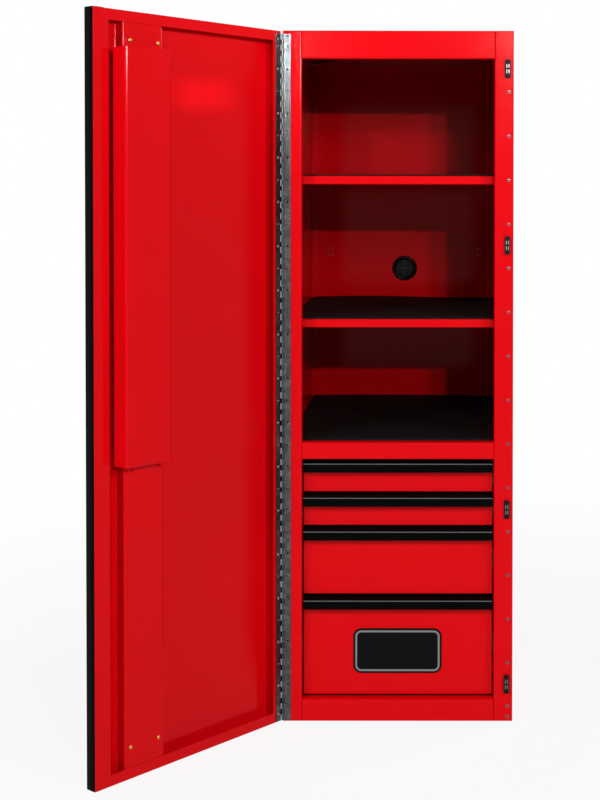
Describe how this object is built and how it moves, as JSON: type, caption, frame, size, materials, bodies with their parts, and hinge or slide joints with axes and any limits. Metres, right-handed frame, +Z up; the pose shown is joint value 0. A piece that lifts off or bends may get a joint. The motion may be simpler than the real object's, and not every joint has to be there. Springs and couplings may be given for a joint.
{
  "type": "tool chest side locker",
  "caption": "Tall narrow sheet-steel side locker: full-height hinged door, matted shelves above, telescopic drawers below, for bolting to the side of a workshop tool chest.",
  "frame": {"origin": "middle of the base's underside, on the floor", "axes": "+Z up, -Y the front that the shut door covers, +X to the right of a person facing the front"},
  "size_m": [0.8092, 1.1032, 1.448],
  "materials": {
    "red_paint": "gloss powder coat",
    "black_trim": "black satin extrusion",
    "zinc_steel": "dull zinc plate",
    "black_rubber": "matt",
    "black_plastic": "moulded",
    "bright_chrome": "polished"
  },
  "bodies": {
    "cabinet": {"left_side_panel": "red_paint", "right_side_panel": "red_paint", "back_panel": "red_paint", "top_panel": "red_paint", "deck_panel": "red_paint", "base_panel": "red_paint", "upper_shelf": "red_paint", "lower_shelf": "red_paint", "left_slide_wall": "red_paint", "right_slide_wall": "red_paint", "hinge_cabinet_leaf": "zinc_steel", "hinge_pin": "zinc_steel", "drawer_1_left_cabinet_slide": "zinc_steel", "drawer_1_right_cabinet_slide": "zinc_steel", "drawer_2_left_cabinet_slide": "zinc_steel", "drawer_2_right_cabinet_slide": "zinc_steel", "drawer_3_left_cabinet_slide": "zinc_steel", "drawer_3_right_cabinet_slide": "zinc_steel", "drawer_4_left_cabinet_slide": "zinc_steel", "drawer_4_right_cabinet_slide": "zinc_steel", "upper_shelf_mat": "black_rubber", "lower_shelf_mat": "black_rubber", "deck_mat": "black_rubber", "cable_grommet": "black_rubber", "catch_1": "black_plastic", "catch_2": "black_plastic", "catch_3": "black_plastic", "catch_4": "black_plastic"},
    "drawer_1": {"drawer_1_box": "red_paint", "drawer_1_pull": "black_trim", "drawer_1_left_drawer_slide": "zinc_steel", "drawer_1_right_drawer_slide": "zinc_steel"},
    "drawer_1_middle": {"drawer_1_left_middle_slide": "zinc_steel", "drawer_1_right_middle_slide": "zinc_steel"},
    "drawer_2": {"drawer_2_box": "red_paint", "drawer_2_pull": "black_trim", "drawer_2_left_drawer_slide": "zinc_steel", "drawer_2_right_drawer_slide": "zinc_steel"},
    "drawer_2_middle": {"drawer_2_left_middle_slide": "zinc_steel", "drawer_2_right_middle_slide": "zinc_steel"},
    "drawer_3": {"drawer_3_box": "red_paint", "drawer_3_pull": "black_trim", "drawer_3_left_drawer_slide": "zinc_steel", "drawer_3_right_drawer_slide": "zinc_steel"},
    "drawer_3_middle": {"drawer_3_left_middle_slide": "zinc_steel", "drawer_3_right_middle_slide": "zinc_steel"},
    "drawer_4": {"drawer_4_box": "red_paint", "drawer_4_pull": "black_trim", "drawer_4_left_drawer_slide": "zinc_steel", "drawer_4_right_drawer_slide": "zinc_steel"},
    "drawer_4_middle": {"drawer_4_left_middle_slide": "zinc_steel", "drawer_4_right_middle_slide": "zinc_steel"},
    "door": {"door_pan": "red_paint", "door_edge_pull": "black_trim", "door_stiffener": "red_paint", "lock_cover": "red_paint", "lock_barrel": "bright_chrome", "hinge_door_leaf": "zinc_steel"},
    "lock_plug": {"lock_plug": "bright_chrome"},
    "lock_rod": {"lock_rod": "zinc_steel"}
  },
  "joints": [
    {"name": "door_hinge", "type": "hinge", "parent": "cabinet", "child": "door", "pos_m": [-0.2413, -0.3667, 0.724], "axis": [0, 0, -1], "range_deg": [-129, 36]},
    {"name": "drawer_1_slide", "type": "slide", "parent": "cabinet", "child": "drawer_1", "axis": [0, -1, 0], "range_m": [0, 0.6]},
    {"name": "drawer_1_middle_slide", "type": "slide", "parent": "cabinet", "child": "drawer_1_middle", "axis": [0, -1, 0], "range_m": [0, 0.3]},
    {"name": "drawer_2_slide", "type": "slide", "parent": "cabinet", "child": "drawer_2", "axis": [0, -1, 0], "range_m": [0, 0.6]},
    {"name": "drawer_2_middle_slide", "type": "slide", "parent": "cabinet", "child": "drawer_2_middle", "axis": [0, -1, 0], "range_m": [0, 0.3]},
    {"name": "drawer_3_slide", "type": "slide", "parent": "cabinet", "child": "drawer_3", "axis": [0, -1, 0], "range_m": [0, 0.6]},
    {"name": "drawer_3_middle_slide", "type": "slide", "parent": "cabinet", "child": "drawer_3_middle", "axis": [0, -1, 0], "range_m": [0, 0.3]},
    {"name": "drawer_4_slide", "type": "slide", "parent": "cabinet", "child": "drawer_4", "axis": [0, -1, 0], "range_m": [0, 0.6]},
    {"name": "drawer_4_middle_slide", "type": "slide", "parent": "cabinet", "child": "drawer_4_middle", "axis": [0, -1, 0], "range_m": [0, 0.3]},
    {"name": "lock_turn", "type": "hinge", "parent": "door", "child": "lock_plug", "pos_m": [-0.47138, -0.65082, 0.987], "axis": [-0.7771, 0.6293, 0], "range_deg": [0, 90]},
    {"name": "lock_rod_slide", "type": "slide", "parent": "door", "child": "lock_rod", "axis": [0, 0, 1], "range_m": [0, 0.0227]}
  ],
  "couplings": [
    {"joint": "drawer_1_middle_slide", "follows": "drawer_1_slide", "ratio": 0.5},
    {"joint": "drawer_2_middle_slide", "follows": "drawer_2_slide", "ratio": 0.5},
    {"joint": "drawer_3_middle_slide", "follows": "drawer_3_slide", "ratio": 0.5},
    {"joint": "drawer_4_middle_slide", "follows": "drawer_4_slide", "ratio": 0.5},
    {"joint": "lock_rod_slide", "follows": "lock_turn", "m_per_rad": 0.014405}
  ]
}
